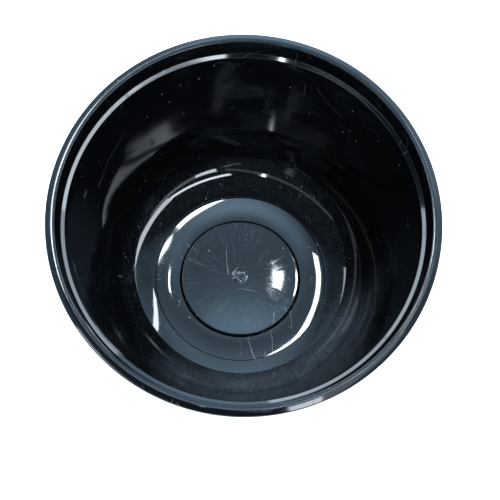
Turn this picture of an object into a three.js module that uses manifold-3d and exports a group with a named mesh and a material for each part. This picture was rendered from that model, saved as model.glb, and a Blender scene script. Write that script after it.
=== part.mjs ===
// Hair colour bowl: one moulded plastic shell with a non-slip ring pressed into its foot.
// Millimetres, +Z up. The origin is on the bowl's axis, at the plane that the bowl stands on.
import * as THREE from 'three';
import { mergeVertices } from 'three/addons/utils/BufferGeometryUtils.js';
import Module from 'manifold-3d';

// Overall size
const RIM_RADIUS = 65;           // outermost edge of the rolled rim
const BOWL_HEIGHT = 78;          // from the standing plane to the top of the rim
const WALL = 1.5;                // thickness of the moulding
const ROUND_STEPS = 64;          // facets round the axis
const FILLET_DETAIL = 1.6;       // facets per radian on a fillet of 1 mm

// Edge roundings
const SOFT_EDGE = 0.4;           // most edges of the collar, ledge and lip
const RIM_EDGE = 0.55;           // the two outer edges of the rim's slope
const STEP_EDGE = 0.7;           // the step outside, below the collar
const RISER_EDGE = 0.25;         // the rim of the centre disc

// Rim and collar
const MOUTH_RADIUS = 61.8;       // inner edge of the rim's top
const RIM_FLAT = 1.35;           // width of the flat ridge on top of the rim
const RIM_DROP = 1.15;           // how far the rim slopes down to its outer edge
const LIP_DEPTH = 2.7;           // from the top of the rim to the underside of its lip
const LIP_RISE = 0.35;           // the lip's underside rises this much towards the wall
const LEDGE_OUTER_RADIUS = 60.1; // foot of the collar's inner face
const LEDGE_INNER_RADIUS = 58.7;
const LEDGE_DEPTH = 6.2;         // from the top of the rim to the outer edge of the ledge
const LEDGE_DROP = 0.8;          // fall of the ledge towards the inside

// Wall, heel and floor
const WALL_DRAFT = THREE.MathUtils.degToRad(15);
const HEEL_Z = 11.05;            // crease where the wall meets the curved floor
const HEEL_EDGE = 0.6;           // rounding of that crease
const HEEL_POINTS = 7;           // facets of the curve from the trough out to the heel
const FLOOR_Z = 4.7;             // floor at the edge of the trough
const FLOOR_SLOPE = THREE.MathUtils.degToRad(8); // slope of the floor there; it steepens outward
const TROUGH_RADIUS = 29.9;      // crisp edge where the trough begins
const TROUGH_STEP = 0.35;        // width of the small step at that edge
const TROUGH_Z = 3.75;           // lowest line of the trough, at the foot of the riser
const TROUGH_RISE = 0.5;         // rise of the trough up to its outer edge
const TROUGH_POINTS = 4;
const RISER_OUTER_RADIUS = 21.3; // the slope up to the centre disc
const DISC_RADIUS = 20.45;
const DISC_Z = 5.0;              // edge of the disc
const DISC_CROWN = 0.4;          // rise of the disc to its centre
const CROWN_RADIUS = 20;         // the crown begins here
const CROWN_POINTS = 5;

// Gate mark in the middle of the disc
const GATE_RADIUS = 2.7;
const GATE_FLOOR_RADIUS = 2.2;
const GATE_DEPTH = 0.4;
const GATE_NUB_RADIUS = 1.6;
const GATE_NUB_HEIGHT = 0.3;

// Round mould inserts on the disc: centre, and the size they share
const INSERTS = [[-11.9, 7.1], [12.1, -5.6]];
const INSERT_RADIUS = 3;
const INSERT_DEPTH = 0.15;
const INSERT_STEPS = 24;

// Foot: two lips with the ring's seat between them
const LIP_BOTTOM_Z = 0.8;        // the ring stands this far out of its seat
const SEAT_ROOF_Z = 2.4;
const SEAT_OUTER_RADIUS = 28.4;
const SEAT_INNER_RADIUS = 22.1;
const FOOT_LIP = 1.4;            // width of each lip
const FOOT_DRAFT = 0.2;          // each lip widens this much towards its root

// Non-slip ring
const GAP = 0.3;                 // clearance between the ring and its seat
const RING_CHAMFER = 0.4;

// Points of an outline whose corners are [radius, height, fillet]; a fillet of 0 stays sharp.
function roundedOutline(corners) {
  const points = [];
  corners.forEach(([r, z, fillet], index) => {
    const corner = new THREE.Vector2(r, z);
    if (!fillet) {
      points.push(corner);
      return;
    }
    const before = new THREE.Vector2(...corners[index - 1]).sub(corner).normalize();
    const after = new THREE.Vector2(...corners[index + 1]).sub(corner).normalize();
    const halfAngle = Math.acos(before.dot(after)) / 2;
    const middle = before.clone().add(after).normalize();
    const centre = corner.clone().addScaledVector(middle, fillet / Math.sin(halfAngle));
    const reach = fillet / Math.tan(halfAngle);
    const start = corner.clone().addScaledVector(before, reach).sub(centre);
    const end = corner.clone().addScaledVector(after, reach).sub(centre);
    const turn = Math.atan2(start.cross(end), start.dot(end));
    const steps = Math.max(1, Math.round(Math.abs(turn) * Math.sqrt(fillet) * FILLET_DETAIL));
    for (let step = 0; step <= steps; step += 1) {
      points.push(start.clone().rotateAround(new THREE.Vector2(), turn * step / steps).add(centre));
    }
  });
  return points;
}

// Solid of revolution about Z from an outline of [radius, height] points.
function revolve(points, steps) {
  return new THREE.LatheGeometry(points, steps).rotateX(Math.PI / 2);
}

// Closed three.js geometry as a solid for joining and cutting.
function toSolid(wasm, geometry) {
  const plain = geometry.clone();
  plain.deleteAttribute('normal');
  plain.deleteAttribute('uv');
  const merged = mergeVertices(plain);
  return new wasm.Manifold(new wasm.Mesh({
    numProp: 3,
    vertProperties: new Float32Array(merged.attributes.position.array),
    triVerts: new Uint32Array(merged.index.array),
  }));
}

function toGeometry(solid) {
  const mesh = solid.getMesh();
  const geometry = new THREE.BufferGeometry();
  geometry.setAttribute('position', new THREE.BufferAttribute(mesh.vertProperties, 3));
  geometry.setIndex(new THREE.BufferAttribute(mesh.triVerts, 1));
  geometry.computeVertexNormals();
  return geometry;
}

// Inner surface of the trough, a shallow curve from the step in to the riser.
function troughPoints() {
  const outer = TROUGH_RADIUS - TROUGH_STEP;
  const points = [];
  for (let index = 0; index <= TROUGH_POINTS; index += 1) {
    const r = THREE.MathUtils.lerp(outer, RISER_OUTER_RADIUS, index / TROUGH_POINTS);
    const offset = (r - RISER_OUTER_RADIUS) / (outer - RISER_OUTER_RADIUS);
    points.push([r, TROUGH_Z + TROUGH_RISE * offset * offset, 0]);
  }
  return points;
}

// Height of the disc's top at this distance from the axis.
function discHeight(r) {
  return DISC_Z + DISC_CROWN * (1 - (r / CROWN_RADIUS) ** 2);
}

// Top of the disc from the edge of the crown in to the gate mark.
function discPoints() {
  const points = [];
  for (let index = 0; index <= CROWN_POINTS; index += 1) {
    const r = THREE.MathUtils.lerp(CROWN_RADIUS, GATE_RADIUS, index / CROWN_POINTS);
    points.push([r, discHeight(r), 0]);
  }
  return points;
}

// Corner where the tapered wall meets the curved floor, with the floor's slope there.
function heelCorner() {
  const wallTopZ = BOWL_HEIGHT - LEDGE_DEPTH - LEDGE_DROP;
  const radius = LEDGE_INNER_RADIUS - Math.tan(WALL_DRAFT) * (wallTopZ - HEEL_Z);
  const chordSlope = Math.atan2(HEEL_Z - FLOOR_Z, radius - TROUGH_RADIUS);
  return { radius, slope: 2 * chordSlope - FLOOR_SLOPE };
}

// Arc of the floor from the trough's edge to the heel without its two ends, moved outward by offset.
function heelPoints(offset) {
  const heel = heelCorner();
  const arcRadius = (heel.radius - TROUGH_RADIUS) / (Math.sin(heel.slope) - Math.sin(FLOOR_SLOPE));
  const points = [];
  for (let index = 1; index < HEEL_POINTS; index += 1) {
    const slope = THREE.MathUtils.lerp(FLOOR_SLOPE, heel.slope, index / HEEL_POINTS);
    points.push([
      TROUGH_RADIUS + arcRadius * (Math.sin(slope) - Math.sin(FLOOR_SLOPE)) + offset * Math.sin(slope),
      FLOOR_Z + arcRadius * (Math.cos(FLOOR_SLOPE) - Math.cos(slope)) - offset * Math.cos(slope),
      0,
    ]);
  }
  return points;
}

// Half section of the shell: from the axis out under the foot, up the outside, over the rim,
// down the inside and back to the axis over the floor.
function shellOutline() {
  const ledgeZ = BOWL_HEIGHT - LEDGE_DEPTH;
  const wallTopZ = ledgeZ - LEDGE_DROP;
  const slope = Math.tan(WALL_DRAFT);
  const heel = heelCorner();
  const wallSlope = Math.PI / 2 - WALL_DRAFT;
  const mitre = WALL / Math.cos((wallSlope - heel.slope) / 2);
  const mitreSlope = (wallSlope + heel.slope) / 2;
  const collarSlope = (MOUTH_RADIUS - LEDGE_OUTER_RADIUS) / LEDGE_DEPTH;
  const collarWall = WALL * Math.hypot(1, collarSlope);
  const outerWall = WALL / Math.cos(WALL_DRAFT);
  const lipZ = BOWL_HEIGHT - LIP_DEPTH;
  const lipRootZ = lipZ + LIP_RISE;
  const stepZ = wallTopZ - WALL + LEDGE_DROP;
  const underHeelRadius = heel.radius + mitre * Math.sin(mitreSlope);
  const underHeelZ = HEEL_Z - mitre * Math.cos(mitreSlope);
  const underFloorZ = FLOOR_Z - WALL;
  const footOuter = SEAT_OUTER_RADIUS + FOOT_LIP;
  const footInner = SEAT_INNER_RADIUS - FOOT_LIP;
  const wallTopRadius = LEDGE_INNER_RADIUS + outerWall - slope * (wallTopZ - stepZ + LEDGE_DROP);
  const gateFloorZ = discHeight(GATE_RADIUS) - GATE_DEPTH;
  const collarRadius = (z) => MOUTH_RADIUS + collarWall - collarSlope * (BOWL_HEIGHT - z);
  return roundedOutline([
    [0, DISC_Z - WALL, 0],
    [footInner - FOOT_DRAFT, DISC_Z - WALL, 0],
    [footInner, LIP_BOTTOM_Z, 0],
    [SEAT_INNER_RADIUS, LIP_BOTTOM_Z, 0],
    [SEAT_INNER_RADIUS, SEAT_ROOF_Z, 0],
    [SEAT_OUTER_RADIUS, SEAT_ROOF_Z, 0],
    [SEAT_OUTER_RADIUS, LIP_BOTTOM_Z, 0],
    [footOuter, LIP_BOTTOM_Z, 0],
    [footOuter + FOOT_DRAFT, underFloorZ, 0],
    ...heelPoints(WALL),
    [underHeelRadius, underHeelZ, HEEL_EDGE],
    [wallTopRadius, stepZ - LEDGE_DROP, STEP_EDGE],
    [collarRadius(stepZ), stepZ, STEP_EDGE],
    [collarRadius(lipRootZ), lipRootZ, SOFT_EDGE],
    [RIM_RADIUS, lipZ, SOFT_EDGE],
    [RIM_RADIUS, BOWL_HEIGHT - RIM_DROP, RIM_EDGE],
    [MOUTH_RADIUS + RIM_FLAT, BOWL_HEIGHT, RIM_EDGE],
    [MOUTH_RADIUS, BOWL_HEIGHT, SOFT_EDGE],
    [LEDGE_OUTER_RADIUS, ledgeZ, SOFT_EDGE],
    [LEDGE_INNER_RADIUS, wallTopZ, SOFT_EDGE],
    [heel.radius, HEEL_Z, HEEL_EDGE],
    ...heelPoints(0).reverse(),
    [TROUGH_RADIUS, FLOOR_Z, 0],
    ...troughPoints(),
    [DISC_RADIUS, DISC_Z, RISER_EDGE],
    ...discPoints(),
    [GATE_FLOOR_RADIUS, gateFloorZ, 0],
    [GATE_NUB_RADIUS, gateFloorZ, 0],
    [GATE_NUB_RADIUS, gateFloorZ + GATE_NUB_HEIGHT, 0],
    [0, gateFloorZ + GATE_NUB_HEIGHT, 0],
  ]);
}

// Solid of the shallow round recess that a mould insert leaves at x, y on the disc.
function insertRecess(wasm, x, y) {
  const pin = new THREE.CylinderGeometry(INSERT_RADIUS, INSERT_RADIUS, 2 * INSERT_DEPTH, INSERT_STEPS);
  return toSolid(wasm, pin.rotateX(Math.PI / 2).translate(x, y, discHeight(Math.hypot(x, y))));
}

function bowlShell(wasm) {
  let solid = toSolid(wasm, revolve(shellOutline(), ROUND_STEPS));
  for (const [x, y] of INSERTS) {
    solid = solid.subtract(insertRecess(wasm, x, y));
  }
  const mesh = new THREE.Mesh(toGeometry(solid), new THREE.MeshStandardMaterial({
    color: 0x0b0d10, roughness: 0.16, metalness: 0,
  }));
  mesh.name = 'bowl_shell';
  return mesh;
}

// Flat rubber ring with chamfered edges, standing a little out of its seat.
function nonSlipRing() {
  const inner = SEAT_INNER_RADIUS + GAP;
  const outer = SEAT_OUTER_RADIUS - GAP;
  const top = SEAT_ROOF_Z - GAP;
  const outline = [
    [inner + RING_CHAMFER, 0],
    [outer - RING_CHAMFER, 0],
    [outer, RING_CHAMFER],
    [outer, top],
    [inner, top],
    [inner, RING_CHAMFER],
    [inner + RING_CHAMFER, 0],
  ].map(([r, z]) => new THREE.Vector2(r, z));
  const mesh = new THREE.Mesh(revolve(outline, ROUND_STEPS), new THREE.MeshStandardMaterial({
    color: 0x1b1c1e, roughness: 0.85, metalness: 0,
  }));
  mesh.name = 'non_slip_ring';
  return mesh;
}

const wasm = await Module();
wasm.setup();

const bowl = new THREE.Group();
bowl.add(bowlShell(wasm), nonSlipRing());

export default bowl;
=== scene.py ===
"""Hair colour bowl: the looks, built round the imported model.

The bowl is one glossy black moulding with a rubber ring pressed under its foot. Both are revolved
from their half sections. Lengths of the sections are in millimetres, and revolve() turns them into
metres. Places in the materials, the lights and the camera are in metres.
"""
import math

import bmesh
import bpy
from mathutils import Matrix, Vector

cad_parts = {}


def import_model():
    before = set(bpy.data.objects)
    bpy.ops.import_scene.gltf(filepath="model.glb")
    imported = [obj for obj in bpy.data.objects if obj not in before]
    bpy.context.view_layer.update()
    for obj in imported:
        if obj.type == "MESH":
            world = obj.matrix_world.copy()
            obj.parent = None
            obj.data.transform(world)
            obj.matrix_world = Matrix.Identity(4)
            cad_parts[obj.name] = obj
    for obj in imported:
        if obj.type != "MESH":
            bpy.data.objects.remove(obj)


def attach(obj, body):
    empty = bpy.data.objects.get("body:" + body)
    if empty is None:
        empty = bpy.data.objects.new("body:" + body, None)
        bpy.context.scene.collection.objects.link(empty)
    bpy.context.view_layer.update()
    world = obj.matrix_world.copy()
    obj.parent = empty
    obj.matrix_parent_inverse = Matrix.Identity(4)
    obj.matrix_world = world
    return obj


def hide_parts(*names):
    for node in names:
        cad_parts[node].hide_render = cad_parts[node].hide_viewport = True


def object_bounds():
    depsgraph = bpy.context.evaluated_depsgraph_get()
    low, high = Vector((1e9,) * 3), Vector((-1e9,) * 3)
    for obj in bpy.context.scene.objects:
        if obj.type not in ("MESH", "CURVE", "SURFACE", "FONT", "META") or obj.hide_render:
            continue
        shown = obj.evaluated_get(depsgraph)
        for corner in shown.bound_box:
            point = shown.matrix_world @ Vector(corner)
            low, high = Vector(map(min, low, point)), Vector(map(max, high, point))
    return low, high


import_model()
cad_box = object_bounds()

MM = 0.001
RIM_RADIUS = cad_box[1].x / MM
BOWL_HEIGHT = cad_box[1].z / MM
WALL = 1.5                        # thickness of the moulding
BOWL_STEPS = 288                  # quads round the axis
ARC_STEP = math.radians(7)        # longest turn of one step on a rounded edge
SHARP = math.radians(32)          # edges that turn more than this are drawn sharp
LONGEST_STEP = 6                  # longest straight stretch of the section between two points

# Half section of the bowl
SOFT_EDGE = 0.4
RIM_EDGE = 0.55
STEP_EDGE = 0.7
RISER_EDGE = 0.25
MOUTH_RADIUS = 61.8
RIM_FLAT = 1.35
RIM_DROP = 1.15
LIP_DEPTH = 2.7
LIP_RISE = 0.35
LEDGE_OUTER_RADIUS = 60.1
LEDGE_INNER_RADIUS = 58.7
LEDGE_DEPTH = 6.2
LEDGE_DROP = 0.8
WALL_DRAFT = math.radians(15)
HEEL_Z = 11.05
HEEL_EDGE = 0.6
HEEL_POINTS = 40
FLOOR_Z = 4.7
FLOOR_SLOPE = math.radians(8)
TROUGH_RADIUS = 29.9
TROUGH_STEP = 0.35
TROUGH_Z = 3.75
TROUGH_RISE = 0.5
TROUGH_POINTS = 24
RISER_OUTER_RADIUS = 21.3
DISC_RADIUS = 20.45
DISC_Z = 5.0
DISC_CROWN = 0.4
CROWN_RADIUS = 20
CROWN_POINTS = 28
LIP_BOTTOM_Z = 0.8
SEAT_ROOF_Z = 2.4
SEAT_OUTER_RADIUS = 28.4
SEAT_INNER_RADIUS = 22.1
FOOT_LIP = 1.4
FOOT_DRAFT = 0.2

# Gate mark at the centre of the disc, and the two plain insert marks beside it
GATE_STEP = 0.14                  # distance between the rings of quads over the mark
GATE_REACH = 4.2
GATE_RADIUS = 2.7
GATE_DEPTH = 0.4
GATE_SIDE = 0.5                   # width of the mark's sloping side
# The ring inside the gate mark's edge is whitened plastic and also a painted highlight for its glints
GATE_TORN_AND_GLINT_INSET = 0.3             # how far inside the mark's edge the plastic is whitened
GATE_CENTRE = Vector((-0.25, 0.7))
GATE_NUB_RADIUS = 1.55
GATE_NUB_CENTRE = Vector((0.35, 0.45))
GATE_NUB_HEIGHT = 0.45
GATE_NUB_WIDTH = 0.3
INSERTS = ((-11.9, 7.1), (12.1, -5.6))
INSERT_RADIUS = 3
INSERT_DEPTH = 0.12
INSERT_SPREAD = 0.12
INSERT_STEPS = 96

# Rubber ring pressed into the seat under the foot
RING_GAP = 0.3
RING_TOP = 2.1
RING_CHAMFER = 0.4


# ---------------------------------------------------------------- outlines and solids

def rounded(corners):
    """Points of an outline whose corners are (radius, height, fillet)."""
    points = []
    for index, (r, z, fillet) in enumerate(corners):
        corner = Vector((r, z))
        if not fillet:
            points.append(corner)
            continue
        before = (Vector(corners[index - 1][:2]) - corner).normalized()
        after = (Vector(corners[(index + 1) % len(corners)][:2]) - corner).normalized()
        half = before.angle(after) / 2
        centre = corner + (before + after).normalized() * fillet / math.sin(half)
        start = corner + before * fillet / math.tan(half) - centre
        end = corner + after * fillet / math.tan(half) - centre
        turn = math.atan2(start.cross(end), start.dot(end))
        steps = max(3, math.ceil(abs(turn) / ARC_STEP))
        for step in range(steps + 1):
            points.append(Matrix.Rotation(turn * step / steps, 2) @ start + centre)
    return points


def subdivided(points, longest):
    """The same outline with no straight stretch longer than this."""
    finer = [points[0]]
    for before, after in zip(points, points[1:]):
        parts = max(1, math.ceil((after - before).length / longest))
        finer += [before.lerp(after, part / parts) for part in range(1, parts + 1)]
    return finer


def revolve(name, outline, steps, closed=False):
    """Solid of revolution about Z. The outline starts and ends on the axis, or closes on itself."""
    mesh = bmesh.new()
    rings = []
    for point in outline:
        if point.x < 1e-6:
            rings.append([mesh.verts.new((0, 0, point.y * MM))])
            continue
        angles = (2 * math.pi * step / steps for step in range(steps))
        r, z = point.x * MM, point.y * MM
        rings.append([mesh.verts.new((r * math.cos(a), r * math.sin(a), z)) for a in angles])
    pairs = list(zip(rings, rings[1:]))
    if closed:
        pairs.append((rings[-1], rings[0]))
    for low, high in pairs:
        for step in range(steps):
            after = (step + 1) % steps
            corners = [low[step % len(low)], low[after % len(low)],
                       high[after % len(high)], high[step % len(high)]]
            mesh.faces.new(list(dict.fromkeys(corners)))
    data = bpy.data.meshes.new(name)
    mesh.to_mesh(data)
    mesh.free()
    data.shade_smooth()
    data.set_sharp_from_angle(angle=SHARP)
    piece = bpy.data.objects.new(name, data)
    bpy.context.scene.collection.objects.link(piece)
    return piece


def trough_points():
    """Top of the trough from its step in to the foot of the disc's slope."""
    outer = TROUGH_RADIUS - TROUGH_STEP
    points = []
    for index in range(TROUGH_POINTS + 1):
        r = outer + (RISER_OUTER_RADIUS - outer) * index / TROUGH_POINTS
        offset = (r - RISER_OUTER_RADIUS) / (outer - RISER_OUTER_RADIUS)
        points.append((r, TROUGH_Z + TROUGH_RISE * offset * offset, 0))
    return points


def disc_height(r):
    return DISC_Z + DISC_CROWN * (1 - (r / CROWN_RADIUS) ** 2)


def disc_points():
    """Top of the disc from the edge of its crown in to the axis."""
    radii = [CROWN_RADIUS * (1 - step / CROWN_POINTS) for step in range(CROWN_POINTS + 1)]
    radii = [r for r in radii if r > GATE_REACH]
    radii += [GATE_STEP * step for step in range(round(GATE_REACH / GATE_STEP), -1, -1)]
    return [(r, disc_height(r), 0) for r in radii]


def heel_corner():
    """Radius where the tapered wall meets the curved floor, and the floor's slope there."""
    wall_top_z = BOWL_HEIGHT - LEDGE_DEPTH - LEDGE_DROP
    radius = LEDGE_INNER_RADIUS - math.tan(WALL_DRAFT) * (wall_top_z - HEEL_Z)
    chord_slope = math.atan2(HEEL_Z - FLOOR_Z, radius - TROUGH_RADIUS)
    return radius, 2 * chord_slope - FLOOR_SLOPE


def heel_points(offset):
    """Arc of the floor from the trough's edge to the heel, without its ends, moved out by offset."""
    heel_radius, heel_slope = heel_corner()
    start_sine, start_cosine = math.sin(FLOOR_SLOPE), math.cos(FLOOR_SLOPE)
    arc_radius = (heel_radius - TROUGH_RADIUS) / (math.sin(heel_slope) - start_sine)
    points = []
    for index in range(1, HEEL_POINTS):
        slope = FLOOR_SLOPE + (heel_slope - FLOOR_SLOPE) * index / HEEL_POINTS
        r = TROUGH_RADIUS + arc_radius * (math.sin(slope) - start_sine) + offset * math.sin(slope)
        z = FLOOR_Z + arc_radius * (start_cosine - math.cos(slope)) - offset * math.cos(slope)
        points.append((r, z, 0))
    return points


def shell_outline():
    """Out under the foot, up the outside, over the rim, down the inside and in over the floor."""
    ledge_z = BOWL_HEIGHT - LEDGE_DEPTH
    wall_top_z = ledge_z - LEDGE_DROP
    slope = math.tan(WALL_DRAFT)
    heel_radius, heel_slope = heel_corner()
    wall_slope = math.pi / 2 - WALL_DRAFT
    mitre = WALL / math.cos((wall_slope - heel_slope) / 2)
    mitre_slope = (wall_slope + heel_slope) / 2
    collar_slope = (MOUTH_RADIUS - LEDGE_OUTER_RADIUS) / LEDGE_DEPTH
    collar_wall = WALL * math.hypot(1, collar_slope)
    outer_wall = WALL / math.cos(WALL_DRAFT)
    lip_z = BOWL_HEIGHT - LIP_DEPTH
    lip_root_z = lip_z + LIP_RISE
    step_z = wall_top_z - WALL + LEDGE_DROP
    wall_top_radius = LEDGE_INNER_RADIUS + outer_wall - slope * (wall_top_z - step_z + LEDGE_DROP)
    under_heel_radius = heel_radius + mitre * math.sin(mitre_slope)
    under_heel_z = HEEL_Z - mitre * math.cos(mitre_slope)
    foot_outer = SEAT_OUTER_RADIUS + FOOT_LIP
    foot_inner = SEAT_INNER_RADIUS - FOOT_LIP

    def collar_radius(z):
        return MOUTH_RADIUS + collar_wall - collar_slope * (BOWL_HEIGHT - z)

    return subdivided(rounded([
        (0, DISC_Z - WALL, 0),
        (foot_inner - FOOT_DRAFT, DISC_Z - WALL, 0),
        (foot_inner, LIP_BOTTOM_Z, 0),
        (SEAT_INNER_RADIUS, LIP_BOTTOM_Z, 0),
        (SEAT_INNER_RADIUS, SEAT_ROOF_Z, 0),
        (SEAT_OUTER_RADIUS, SEAT_ROOF_Z, 0),
        (SEAT_OUTER_RADIUS, LIP_BOTTOM_Z, 0),
        (foot_outer, LIP_BOTTOM_Z, 0),
        (foot_outer + FOOT_DRAFT, FLOOR_Z - WALL, 0),
        *heel_points(WALL),
        (under_heel_radius, under_heel_z, HEEL_EDGE),
        (wall_top_radius, step_z - LEDGE_DROP, STEP_EDGE),
        (collar_radius(step_z), step_z, STEP_EDGE),
        (collar_radius(lip_root_z), lip_root_z, SOFT_EDGE),
        (RIM_RADIUS, lip_z, SOFT_EDGE),
        (RIM_RADIUS, BOWL_HEIGHT - RIM_DROP, RIM_EDGE),
        (MOUTH_RADIUS + RIM_FLAT, BOWL_HEIGHT, RIM_EDGE),
        (MOUTH_RADIUS, BOWL_HEIGHT, SOFT_EDGE),
        (LEDGE_OUTER_RADIUS, ledge_z, SOFT_EDGE),
        (LEDGE_INNER_RADIUS, wall_top_z, SOFT_EDGE),
        (heel_radius, HEEL_Z, HEEL_EDGE),
        *reversed(heel_points(0)),
        (TROUGH_RADIUS, FLOOR_Z, 0),
        *trough_points(),
        (DISC_RADIUS, DISC_Z, RISER_EDGE),
        *disc_points(),
    ]), LONGEST_STEP)


def ring_outline():
    """Section of the rubber ring, chamfer-sized roundings on all four corners."""
    inner = SEAT_INNER_RADIUS + RING_GAP
    outer = SEAT_OUTER_RADIUS - RING_GAP
    corners = ((inner, 0), (outer, 0), (outer, RING_TOP), (inner, RING_TOP))
    return rounded([(r, z, RING_CHAMFER) for r, z in corners])


def smooth(value):
    """Smooth step from 0 at 0 to 1 at 1."""
    value = min(1, max(0, value))
    return value * value * (3 - 2 * value)


def press_gate(piece):
    """Sink the round gate mark into the disc and raise the torn ring of the sprue inside it."""
    for vertex in piece.data.vertices:
        spot = Vector((vertex.co.x, vertex.co.y)) / MM
        if spot.length > GATE_REACH - GATE_STEP / 2 or vertex.co.z < (DISC_Z - WALL / 2) * MM:
            continue
        dip = GATE_DEPTH * smooth((GATE_RADIUS - (spot - GATE_CENTRE).length) / GATE_SIDE)
        off_nub = ((spot - GATE_NUB_CENTRE).length - GATE_NUB_RADIUS) / GATE_NUB_WIDTH
        vertex.co.z += (GATE_NUB_HEIGHT * math.exp(-off_nub * off_nub) - dip) * MM


def cut_inserts(piece):
    """Two round insert marks, sunk a little into the disc with slightly leaning sides."""
    for x, y in INSERTS:
        slope = 2 * DISC_CROWN / CROWN_RADIUS ** 2
        lean = Vector((slope * x, slope * y, 1))
        level = disc_height(math.hypot(x, y))
        top_radius = INSERT_RADIUS + 2 * INSERT_SPREAD
        corners = ((0, -INSERT_DEPTH), (INSERT_RADIUS, -INSERT_DEPTH), (top_radius, INSERT_DEPTH),
                   (0, INSERT_DEPTH))
        cutter = revolve("insert_cutter", [Vector(corner) for corner in corners], INSERT_STEPS)
        cutter.location = (x * MM, y * MM, level * MM)
        cutter.rotation_mode = "QUATERNION"
        cutter.rotation_quaternion = Vector((0, 0, 1)).rotation_difference(lean)
        cut = piece.modifiers.new("insert", "BOOLEAN")
        cut.operation = "DIFFERENCE"
        cut.solver = "EXACT"
        cut.object = cutter
        bpy.context.view_layer.update()
        finished = piece.evaluated_get(bpy.context.evaluated_depsgraph_get())
        shape = bpy.data.meshes.new_from_object(finished)
        piece.modifiers.clear()
        piece.data = shape
        bpy.data.objects.remove(cutter)


# ---------------------------------------------------------------- materials

# A fade is (where a mark is absent, where it is full): radii from the axis or heights, in metres
DISC_EDGE_FADE = (0.0203, 0.0190)
DISC_TOP_FADE = (0.0062, 0.0058)
DISC_BOTTOM_FADE = (0.0040, 0.0044)
RAY_HEIGHT_FADE = (0.030, 0.012)
BRUSHED_INNER_FADE = (0.0300, 0.0330)
BRUSHED_OUTER_FADE = (0.0435, 0.0400)
BRUSHED_HEIGHT_FADE = (0.0130, 0.0110)
# Fades of the near-side haze: partly dust, partly painted light on the side that light from the back falls
# on
DUST_AND_LIT_HAZE_INNER_FADE = (0.0305, 0.0400)
DUST_AND_LIT_HAZE_SIDE_FADE = (-0.014, -0.036)    # along y, less DUST_AND_LIT_HAZE_TURN of x
DUST_AND_LIT_HAZE_TURN = 0.45
DUST_AND_LIT_HAZE_HEIGHT_FADE = (0.050, 0.012)
WALL_HEIGHT_FADE = (0.006, 0.030)

NEAREST_RADIUS = 0.0005           # keeps the direction round the axis defined at the axis
SPIRAL = 9.0                      # how fast the marks round the axis change with the radius, per metre

# Sets of fine scratches: scale and half width of the noise line, turn of the mask that breaks it and
# how much the mask lets through; the later sets are also turned about Z by the angle beside them
FIRST_SCRATCHES = {"scale": 21.0, "width": 0.0011, "mask_turn": 1.3, "share": 0.36}
MORE_SCRATCHES = (
    ({"scale": 34.0, "width": 0.0016, "mask_turn": 2.1, "share": 0.38}, 0.6),
    ({"scale": 60.0, "width": 0.0024, "mask_turn": 0.4, "share": 0.37}, 2.2),
    ({"scale": 150.0, "width": 0.0060, "mask_turn": 0.9, "share": 0.33}, 1.1),
)
SCRATCH_STRETCH = (1.0, 0.35, 1.0)
SCRATCH_TILT = (0.2, 0.1)
MASK_SCALE = 1.7                  # scale of the mask against the scale of the line
MASK_FADE = 0.03

CLEAN_BLACK = (0.0008, 0.0010, 0.0013, 1)
MARK_AND_PAINTED_LIGHT_GREY = (0.050, 0.064, 0.080, 1)
BASE_ROUGHNESS = 0.028
PLASTIC_IOR = 1.5
BROAD_WAVES = 0.00022             # heights of the bumps in metres
SMALL_WAVES = 0.000016
FLOW_HEIGHT = 0.0000006
SCRATCH_HEIGHT = -0.000004

RUBBER_BLACK = (0.016, 0.016, 0.017, 1)
SCUFFED_GREY = (0.045, 0.044, 0.043, 1)
RUBBER_ROUGHNESS = 0.72
GRAIN_HEIGHT = 0.00006


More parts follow.
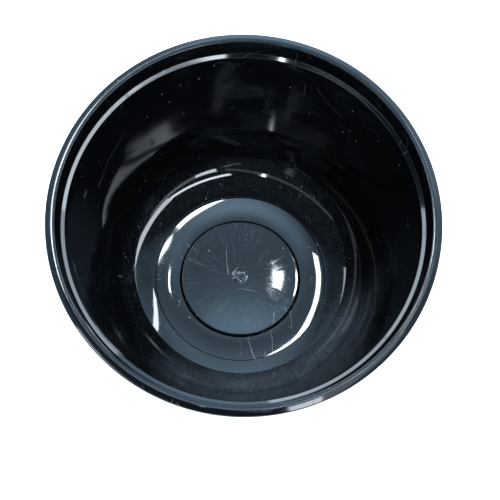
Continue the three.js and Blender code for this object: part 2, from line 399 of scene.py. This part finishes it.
class Maker:
    """Short ways to add the nodes that the materials and the world use."""

    def __init__(self, tree):
        self.nodes, self.links = tree.nodes, tree.links

    def put(self, value, socket):
        if isinstance(value, (int, float, tuple)):
            socket.default_value = value
        else:
            self.links.new(value, socket)

    def math(self, operation, first, second=0.0, third=0.0):
        node = self.nodes.new("ShaderNodeMath")
        node.operation = operation
        for value, socket in zip((first, second, third), node.inputs):
            self.put(value, socket)
        return node.outputs[0]

    def product(self, first, *others):
        for other in others:
            first = self.math("MULTIPLY", first, other)
        return first

    def total(self, start, *parts):
        """Start plus each mark times its amount."""
        for mark, amount in parts:
            start = self.math("MULTIPLY_ADD", mark, amount, start)
        return start

    def length(self, x, y):
        return self.math("SQRT", self.math("ADD", self.product(x, x), self.product(y, y)))

    def split(self, vector):
        node = self.nodes.new("ShaderNodeSeparateXYZ")
        self.put(vector, node.inputs["Vector"])
        return node.outputs

    def noise(self, place, scale, detail, roughness=0.5, distortion=0.0):
        node = self.nodes.new("ShaderNodeTexNoise")
        self.put(place, node.inputs["Vector"])
        node.inputs["Scale"].default_value = scale
        node.inputs["Detail"].default_value = detail
        node.inputs["Roughness"].default_value = roughness
        node.inputs["Distortion"].default_value = distortion
        return node.outputs["Fac"]

    def ramp(self, value, low, high, to_low=0.0, to_high=1.0):
        node = self.nodes.new("ShaderNodeMapRange")
        node.interpolation_type = "SMOOTHSTEP"
        self.put(value, node.inputs["Value"])
        for name, number in (("From Min", low), ("From Max", high), ("To Min", to_low), ("To Max", to_high)):
            node.inputs[name].default_value = number
        return node.outputs["Result"]

    def patches(self, place, low, high, to_low=0.0, to_high=1.0, **noise):
        """Noise, ramped from to_low where it is low to to_high where it is high."""
        return self.ramp(self.noise(place, **noise), low, high, to_low, to_high)

    def mapped(self, place, scale, turn):
        node = self.nodes.new("ShaderNodeMapping")
        self.put(place, node.inputs["Vector"])
        node.inputs["Scale"].default_value = scale
        node.inputs["Rotation"].default_value = turn
        return node.outputs["Vector"]

    def gate_ring(self, x, y, centre, ring_radius, width):
        """Soft ring round a point of the disc, lengths in millimetres."""
        away = self.length(self.math("SUBTRACT", x, centre.x * MM), self.math("SUBTRACT", y, centre.y * MM))
        off_ring = self.math("ABSOLUTE", self.math("SUBTRACT", away, ring_radius * MM))
        return self.ramp(off_ring, width * MM, 0.0)

    def speckle(self, place, scale, size, share):
        """Round specks: a cell's random value picks which cells hold one."""
        node = self.nodes.new("ShaderNodeTexVoronoi")
        self.put(place, node.inputs["Vector"])
        node.inputs["Scale"].default_value = scale
        cell = self.nodes.new("ShaderNodeSeparateColor")
        self.links.new(node.outputs["Color"], cell.inputs["Color"])
        dot = self.ramp(node.outputs["Distance"], size, size / 2)
        return self.product(dot, self.math("LESS_THAN", cell.outputs["Red"], share))

    def hair_lines(self, place, scale, width, mask_turn, share):
        """Thin wandering scratches: a level line of a noise, kept only where a mask is high."""
        line = self.math("ABSOLUTE", self.math("SUBTRACT", self.noise(place, scale, detail=1.0), 0.5))
        mask_place = self.mapped(place, (1, 1, 1), (mask_turn, mask_turn, 0))
        mask = self.patches(mask_place, 1 - share, 1 - share + MASK_FADE, scale=scale * MASK_SCALE,
                            detail=1.0)
        return self.product(self.ramp(line, width, width * 0.3), mask)

    def blend(self, factor, first, second, clamp):
        node = self.nodes.new("ShaderNodeMix")
        node.data_type = "RGBA"
        node.clamp_factor = clamp
        self.put(factor, node.inputs["Factor"])
        node.inputs["A"].default_value = first
        node.inputs["B"].default_value = second
        return node.outputs["Result"]

    def bump(self, height):
        """Normal of a surface raised by this height in metres."""
        node = self.nodes.new("ShaderNodeBump")
        node.inputs["Distance"].default_value = 1.0
        node.inputs["Strength"].default_value = 1.0
        self.put(height, node.inputs["Height"])
        return node.outputs["Normal"]


def new_material(name):
    material = bpy.data.materials.new(name)
    material.use_nodes = True
    return material, Maker(material.node_tree), material.node_tree.nodes["Principled BSDF"]


def bowl_plastic():
    """Glossy black polypropylene: scratches, wiping marks, dust and flow lines from the gate, plus painted
    light: a pale haze on the near side and glints on the gate.
    """
    material, make, shader = new_material("bowl_plastic")
    place = make.nodes.new("ShaderNodeTexCoord").outputs["Object"]
    x, y, z = make.split(place)
    radius = make.length(x, y)
    safe = make.math("MAXIMUM", radius, NEAREST_RADIUS)
    around = make.nodes.new("ShaderNodeCombineXYZ")
    make.put(make.math("DIVIDE", x, safe), around.inputs["X"])
    make.put(make.math("DIVIDE", y, safe), around.inputs["Y"])
    make.put(make.product(radius, SPIRAL), around.inputs["Z"])
    around = around.outputs["Vector"]

    # Flow lines that run out over the disc from the gate
    on_disc = make.product(make.ramp(radius, *DISC_EDGE_FADE), make.ramp(z, *DISC_TOP_FADE),
                           make.ramp(z, *DISC_BOTTOM_FADE))
    flow = make.patches(around, 0.50, 0.78, scale=13.0, detail=3.0, roughness=0.75)
    fine_flow = make.patches(around, 0.55, 0.80, scale=34.0, detail=2.0, roughness=0.7)
    flow = make.product(make.math("ADD", flow, fine_flow), on_disc)

    scratches = make.hair_lines(place, **FIRST_SCRATCHES)
    for scratch_set, turn in MORE_SCRATCHES:
        turned = make.mapped(place, SCRATCH_STRETCH, (*SCRATCH_TILT, turn))
        scratches = make.math("MAXIMUM", scratches, make.hair_lines(turned, **scratch_set))

    # Short pale strokes that point at the axis, and a band brushed dull on the floor's arc
    rays = make.product(make.patches(around, 0.70, 0.76, scale=60.0, detail=1.0),
                        make.patches(place, 0.55, 0.65, scale=90.0, detail=1.0),
                        make.ramp(z, *RAY_HEIGHT_FADE))
    brushed = make.product(make.ramp(radius, *BRUSHED_INNER_FADE), make.ramp(radius, *BRUSHED_OUTER_FADE),
                           make.ramp(z, *BRUSHED_HEIGHT_FADE),
                           make.patches(around, 0.45, 0.80, scale=70.0, detail=3.0, roughness=0.8))

    dust = make.math("MAXIMUM", make.speckle(place, scale=420.0, size=0.17, share=0.045),
                     make.speckle(place, scale=190.0, size=0.075, share=0.07))
    smudge = make.patches(place, 0.50, 0.72, scale=26.0, detail=4.0, roughness=0.6, distortion=0.7)
    haze = make.product(smudge, make.patches(place, 0.42, 0.70, scale=75.0, detail=5.0, roughness=0.75,
                                             distortion=0.5))

    # Pale haze on the near side of the floor and lower wall: partly dust, partly painted light where light
    # from the back falls on the near side
    side = make.math("MULTIPLY_ADD", x, -DUST_AND_LIT_HAZE_TURN, y)
    dust_and_lit_haze = make.product(
        make.ramp(radius, *DUST_AND_LIT_HAZE_INNER_FADE), make.ramp(side, *DUST_AND_LIT_HAZE_SIDE_FADE),
        make.ramp(z, *DUST_AND_LIT_HAZE_HEIGHT_FADE),
        make.patches(around, 0.30, 0.75, 0.55, 1.25, scale=90.0, detail=3.0, roughness=0.8),
        make.patches(place, 0.20, 0.80, 0.35, 1.0, scale=60.0, detail=5.0, roughness=0.7))

    # Torn, whitened plastic on the ring of the sprue and inside the edge of the gate mark, made paler as a
    # painted highlight for the gate's glints
    torn_and_glint = make.math("MAXIMUM", make.gate_ring(x, y, GATE_NUB_CENTRE, GATE_NUB_RADIUS, width=0.55),
                     make.gate_ring(x, y, GATE_CENTRE, GATE_RADIUS - GATE_TORN_AND_GLINT_INSET, width=0.35))
    torn_and_glint = make.product(torn_and_glint, make.ramp(z, *DISC_BOTTOM_FADE),
                        make.patches(place, 0.42, 0.60, scale=900.0, detail=2.0))

    # Pale marks: scratches, dust, flow lines and wear, plus painted light in the near-side haze and the
    # gate's glints
    pale = make.total(0.0, (haze, 0.10), (torn_and_glint, 3.2), (brushed, 0.16), (dust_and_lit_haze, 0.75), (flow, 0.26),
                      (rays, 0.8), (scratches, 0.45), (dust, 1.0))
    colour = make.blend(pale, CLEAN_BLACK, MARK_AND_PAINTED_LIGHT_GREY, clamp=False)
    make.put(colour, shader.inputs["Base Color"])

    wall = make.ramp(z, *WALL_HEIGHT_FADE)
    rough = make.total(BASE_ROUGHNESS, (wall, 0.045), (haze, 0.07), (flow, 0.03), (brushed, 0.12),
                       (scratches, 0.15), (make.math("MAXIMUM", dust, rays), 0.40))
    make.put(rough, shader.inputs["Roughness"])
    shader.inputs["IOR"].default_value = PLASTIC_IOR

    height = make.total(0.0, (make.noise(place, 36.0, detail=1.0), BROAD_WAVES),
                        (make.noise(place, 110.0, detail=1.0), SMALL_WAVES),
                        (flow, FLOW_HEIGHT), (scratches, SCRATCH_HEIGHT))
    make.put(make.bump(height), shader.inputs["Normal"])
    return material


def ring_rubber():
    """Matt black rubber with a fine grain and grey scuffs."""
    material, make, shader = new_material("ring_rubber")
    place = make.nodes.new("ShaderNodeTexCoord").outputs["Object"]
    grain = make.noise(place, 1500.0, detail=3.0, roughness=0.6)
    scuffs = make.patches(place, 0.52, 0.70, scale=140.0, detail=4.0, roughness=0.7, distortion=1.0)
    colour = make.blend(scuffs, RUBBER_BLACK, SCUFFED_GREY, clamp=True)
    make.put(colour, shader.inputs["Base Color"])
    make.put(make.total(RUBBER_ROUGHNESS, (scuffs, 0.12)), shader.inputs["Roughness"])
    make.put(make.bump(make.product(grain, GRAIN_HEIGHT)), shader.inputs["Normal"])
    return material


# ---------------------------------------------------------------- pieces

bowl = revolve("bowl", shell_outline(), BOWL_STEPS)
press_gate(bowl)
cut_inserts(bowl)
bowl.data.set_sharp_from_angle(angle=SHARP)
bowl.data.materials.clear()
bowl.data.materials.append(bowl_plastic())
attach(bowl, "root")
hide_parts("bowl_shell")

ring = revolve("grip_ring", ring_outline(), BOWL_STEPS, closed=True)
ring.data.materials.append(ring_rubber())
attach(ring, "root")
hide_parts("non_slip_ring")

# ---------------------------------------------------------------- stage, lights and camera

FLOOR_HALF = 3                    # half the side of the paper floor
PAPER_WHITE = (0.9, 0.9, 0.9, 1)
PAPER_ROUGHNESS = 0.9

floor_mesh = bpy.data.meshes.new("floor")
floor_corners = [(x * FLOOR_HALF, y * FLOOR_HALF, 0) for x, y in ((-1, -1), (1, -1), (1, 1), (-1, 1))]
floor_mesh.from_pydata(floor_corners, [], [(0, 1, 2, 3)])
floor = bpy.data.objects.new("floor", floor_mesh)
bpy.context.scene.collection.objects.link(floor)
floor_material, _, floor_shader = new_material("floor_white")
floor_shader.inputs["Base Color"].default_value = PAPER_WHITE
floor_shader.inputs["Roughness"].default_value = PAPER_ROUGHNESS
floor_mesh.materials.append(floor_material)

SKY_BLUE = (0.65, 1.0, 1.35, 1)
GLOW_CENTRE = (0.02, 0.095)       # x and y of its direction
GLOW_STRENGTH = 3.1
LIGHT_DISTANCE = 2.0
LAMP_COLOUR = (0.9, 1.0, 1.1)


def world():
    """Dim overhead, paler low down and toward the back, less at the sides, with a soft glow near the top."""
    studio = bpy.data.worlds.new("studio")
    bpy.context.scene.world = studio
    studio.use_nodes = True
    make = Maker(studio.node_tree)
    background = make.nodes["Background"]
    x, y, z = make.split(make.nodes.new("ShaderNodeTexCoord").outputs["Generated"])
    from_glow = make.length(make.math("SUBTRACT", x, GLOW_CENTRE[0]),
                            make.math("SUBTRACT", y, GLOW_CENTRE[1]))
    glow = make.product(make.ramp(from_glow, 0.20, 0.02), make.ramp(y, -0.03, 0.05))
    back = make.math("ADD", make.ramp(y, 0.27, 0.50), make.ramp(y, 0.02, 0.20))
    less_right = make.ramp(x, 0.12, 0.45, to_low=1.0, to_high=0.55)
    less_left = make.ramp(x, -0.45, -0.12, to_low=0.20, to_high=1.0)
    low_down = make.ramp(z, 0.60, 0.45, to_low=0.10, to_high=0.75)
    strength = make.total(low_down, (back, make.product(less_right, less_left)), (glow, GLOW_STRENGTH))
    background.inputs["Color"].default_value = SKY_BLUE
    make.put(strength, background.inputs["Strength"])


def softbox(name, start, end, width, radiance):
    """Rectangular light facing the bowl, from one slant (x/z, y/z) to another, width in radians."""
    ends = [Vector((x, y, 1)).normalized() * LIGHT_DISTANCE for x, y in (start, end)]
    middle = (ends[0] + ends[1]) / 2
    long_side = ends[1] - ends[0]
    toward = middle.normalized()
    length_axis = (long_side - toward * long_side.dot(toward)).normalized()
    width_axis = toward.cross(length_axis)
    data = bpy.data.lights.new(name, "AREA")
    data.shape = "RECTANGLE"
    data.size = long_side.length
    data.size_y = width * LIGHT_DISTANCE
    data.color = LAMP_COLOUR
    data.energy = radiance * math.pi * data.size * data.size_y
    lamp = bpy.data.objects.new(name, data)
    turn = Matrix((length_axis, width_axis, toward)).transposed().to_4x4()
    lamp.matrix_world = Matrix.Translation(middle) @ turn
    bpy.context.scene.collection.objects.link(lamp)


world()

# Boxes and strips all round, for the bands on the ledge, the rim and the far wall
softbox("right_front_box", (0.20, -0.82), (0.87, -0.49), width=0.06, radiance=20)
softbox("right_box", (0.87, -0.49), (1.44, 0.50), width=0.13, radiance=12)
softbox("right_back_box", (1.44, 0.50), (1.16, 2.26), width=0.20, radiance=5)
softbox("left_back_box", (-0.44, 2.90), (-1.44, 1.68), width=0.20, radiance=6)
softbox("left_box", (-1.44, 1.68), (-1.38, 0.23), width=0.20, radiance=7)
softbox("front_strip", (-1.25, -0.50), (0.35, -1.15), width=0.06, radiance=0.9)
softbox("rim_strip", (0.50, -1.22), (0.80, -1.10), width=0.12, radiance=14)
softbox("wall_streak", (-0.17, -0.82), (-0.205, -0.98), width=0.03, radiance=60)
softbox("front_left_box", (-1.75, -0.80), (-0.60, -1.80), width=0.10, radiance=8)
softbox("rim_end_strip", (0.80, -1.10), (1.40, -0.35), width=0.12, radiance=2)

# Streak on the floor's arc, crescent on the disc, and the two broken arcs in the trough
softbox("back_strip", (0.29, 0.36), (0.74, 0.98), width=0.05, radiance=22)
softbox("lamp_a", (0.069, 0.253), (0.069, 0.289), width=0.013, radiance=70)
softbox("lamp_b", (0.135, 0.19), (0.225, 0.235), width=0.032, radiance=35)
softbox("lamp_c", (0.140, 0.165), (0.045, 0.04), width=0.036, radiance=35)
softbox("lamp_d", (-0.150, 0.20), (-0.150, 0.40), width=0.042, radiance=40)
softbox("lamp_e", (-0.150, 0.39), (-0.075, 0.52), width=0.042, radiance=40)

# The sun lights the paper along the camera's line, so that it stays white without a shadow
PAPER_SUN_ENERGY = 4.5
PAPER_SUN_ANGLE = math.radians(3)
PAPER_SUN_TILT = math.radians(15)
paper_light = bpy.data.lights.new("paper_light", "SUN")
paper_light.energy = PAPER_SUN_ENERGY
paper_light.angle = PAPER_SUN_ANGLE
paper_sun = bpy.data.objects.new("paper_light", paper_light)
paper_sun.rotation_euler = (PAPER_SUN_TILT, 0, 0)
paper_sun.visible_glossy = False
bpy.context.scene.collection.objects.link(paper_sun)
bpy.context.scene.view_settings.view_transform = "Standard"

CAMERA_TILT = math.radians(15.45) # from straight down
CAMERA_ROLL = math.radians(4.53)
CAMERA_DISTANCE = 0.9305
CAMERA_AIM = Vector((2.70 * MM, 10.55 * MM, FLOOR_Z * MM))
CAMERA_SENSOR = 36
CAMERA_LENS = 189.3
NEAREST_SEEN = 0.05


def camera():
    """Standing at -Y, looking down at the bowl from about 74.5 degrees above the horizon."""
    back = Vector((0, -math.sin(CAMERA_TILT), math.cos(CAMERA_TILT)))
    right = Vector((1, 0, 0))
    up = back.cross(right)
    turned_right = right * math.cos(CAMERA_ROLL) + up * math.sin(CAMERA_ROLL)
    turned_up = back.cross(turned_right)
    data = bpy.data.cameras.new("camera")
    data.sensor_width = CAMERA_SENSOR
    data.lens = CAMERA_LENS
    data.clip_start = NEAREST_SEEN
    stand = bpy.data.objects.new("camera", data)
    turn = Matrix((turned_right, turned_up, back)).transposed().to_4x4()
    stand.matrix_world = Matrix.Translation(CAMERA_AIM + back * CAMERA_DISTANCE) @ turn
    bpy.context.scene.collection.objects.link(stand)
    bpy.context.scene.camera = stand


camera()
